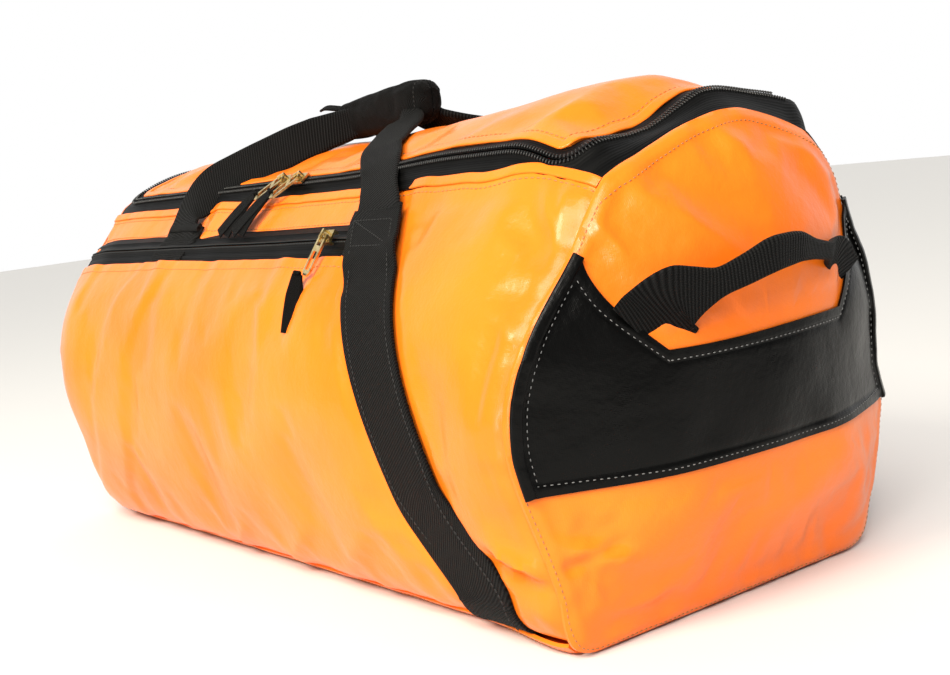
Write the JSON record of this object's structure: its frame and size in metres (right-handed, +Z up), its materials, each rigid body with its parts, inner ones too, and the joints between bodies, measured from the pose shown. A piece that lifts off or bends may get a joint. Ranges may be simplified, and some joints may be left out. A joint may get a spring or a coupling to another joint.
{
  "type": "duffel kit bag",
  "caption": "Barrel-shaped coated-fabric kit bag with a three-sided zip lid, front pocket, webbing straps, joined carry handles and an end grab handle.",
  "frame": {"origin": "middle of the base panel's flat underside", "axes": "+X along the bag, -Y towards the pocket side, +Z up"},
  "size_m": [0.7706, 0.3156, 0.334],
  "materials": {
    "orange_pvc": "satin coated fabric",
    "black_pvc": "gloss coated fabric",
    "webbing": "ribbed woven webbing",
    "zip_tape": "fine woven tape",
    "zip_coil": "satin nylon coil",
    "pale_brass": "polished, lightly worn"
  },
  "bodies": {
    "bag": {"wrap_panel": "orange_pvc", "base_panel": "orange_pvc", "pocket_panel": "orange_pvc", "pocket_zip_tape_lower": "zip_tape", "pocket_zip_tape_upper": "zip_tape", "pocket_zip_coil": "zip_coil", "main_zip_tape_body": "zip_tape", "main_zip_coil_body": "zip_coil", "end_panel_right": "orange_pvc", "end_panel_left": "orange_pvc", "end_patch_right": "black_pvc", "end_patch_left": "black_pvc", "strap_right": "webbing", "strap_left": "webbing", "end_handle_anchor_right_front": "webbing", "end_handle_anchor_right_back": "webbing", "end_handle_anchor_left_front": "webbing", "end_handle_anchor_left_back": "webbing"},
    "lid": {"lid_panel": "orange_pvc", "main_zip_tape_lid": "zip_tape", "main_zip_coil_lid": "zip_coil"},
    "front_handle": {"front_handle_webbing": "webbing", "front_grip_pad": "webbing"},
    "back_handle": {"back_handle_webbing": "webbing", "back_grip_pad": "webbing"},
    "end_handle_right": {"end_handle_right": "webbing"},
    "end_handle_left": {"end_handle_left": "webbing"},
    "main_left_slider": {"main_left_slider": "pale_brass"},
    "main_left_pull_tab": {"main_left_pull_tab": "pale_brass"},
    "main_left_pull_ribbon": {"main_left_pull_ribbon": "webbing"},
    "main_right_slider": {"main_right_slider": "pale_brass"},
    "main_right_pull_tab": {"main_right_pull_tab": "pale_brass"},
    "main_right_pull_ribbon": {"main_right_pull_ribbon": "webbing"},
    "pocket_slider": {"pocket_slider": "pale_brass"},
    "pocket_pull_tab": {"pocket_pull_tab": "pale_brass"},
    "pocket_pull_ribbon": {"pocket_pull_ribbon": "webbing"}
  },
  "joints": [
    {"name": "lid_open", "type": "hinge", "parent": "bag", "child": "lid", "pos_m": [0, 0.08046, 0.2658], "axis": [-1, 0, 0], "range_deg": [0, 70]},
    {"name": "front_handle_swing", "type": "hinge", "parent": "bag", "child": "front_handle", "pos_m": [0, -0.10721, 0.24128], "axis": [1, 0, 0], "range_deg": [0, 140]},
    {"name": "back_handle_swing", "type": "hinge", "parent": "bag", "child": "back_handle", "pos_m": [0, 0.10721, 0.24128], "axis": [-1, 0, 0], "range_deg": [0, 140]},
    {"name": "end_handle_right_swing", "type": "hinge", "parent": "bag", "child": "end_handle_right", "pos_m": [0.35501, 0, 0.19], "axis": [0, -1, 0], "range_deg": [-85, 30]},
    {"name": "end_handle_left_swing", "type": "hinge", "parent": "bag", "child": "end_handle_left", "pos_m": [-0.35501, 0, 0.19], "axis": [0, 1, 0], "range_deg": [-85, 30]},
    {"name": "main_left_slide", "type": "slide", "parent": "lid", "child": "main_left_slider", "axis": [-1, 0, 0], "range_m": [0, 0.045]},
    {"name": "main_left_tab_lift", "type": "hinge", "parent": "main_left_slider", "child": "main_left_pull_tab", "pos_m": [-0.012, -0.08559, 0.27198], "axis": [-0.5736, 0.6293, 0.5244], "range_deg": [0, 120]},
    {"name": "main_left_ribbon_lift", "type": "hinge", "parent": "main_left_pull_tab", "child": "main_left_pull_ribbon", "pos_m": [-0.0378, -0.0989, 0.25699], "axis": [-0.5736, 0.6293, 0.5244], "range_deg": [0, 70]},
    {"name": "main_right_slide", "type": "slide", "parent": "lid", "child": "main_right_slider", "axis": [1, 0, 0], "range_m": [0, 0.07]},
    {"name": "main_right_tab_lift", "type": "hinge", "parent": "main_right_slider", "child": "main_right_pull_tab", "pos_m": [0.01, -0.08559, 0.27198], "axis": [-0.5736, 0.6293, 0.5244], "range_deg": [0, 120]},
    {"name": "main_right_ribbon_lift", "type": "hinge", "parent": "main_right_pull_tab", "child": "main_right_pull_ribbon", "pos_m": [-0.0158, -0.0989, 0.25699], "axis": [-0.5736, 0.6293, 0.5244], "range_deg": [0, 70]},
    {"name": "pocket_slide", "type": "slide", "parent": "bag", "child": "pocket_slider", "axis": [-1, 0, 0], "range_m": [0, 0.345]},
    {"name": "pocket_tab_lift", "type": "hinge", "parent": "pocket_slider", "child": "pocket_pull_tab", "pos_m": [0.096, -0.1229, 0.23281], "axis": [-0.9781, 0.1257, 0.1656], "range_deg": [0, 120]},
    {"name": "pocket_ribbon_lift", "type": "hinge", "parent": "pocket_pull_tab", "child": "pocket_pull_ribbon", "pos_m": [0.08945, -0.14123, 0.2057], "axis": [-0.9781, 0.1257, 0.1656], "range_deg": [0, 70]}
  ],
  "couplings": [
    {"joint": "front_handle_swing", "follows": "lid_open", "ratio": 2},
    {"joint": "back_handle_swing", "follows": "lid_open", "ratio": 2}
  ]
}
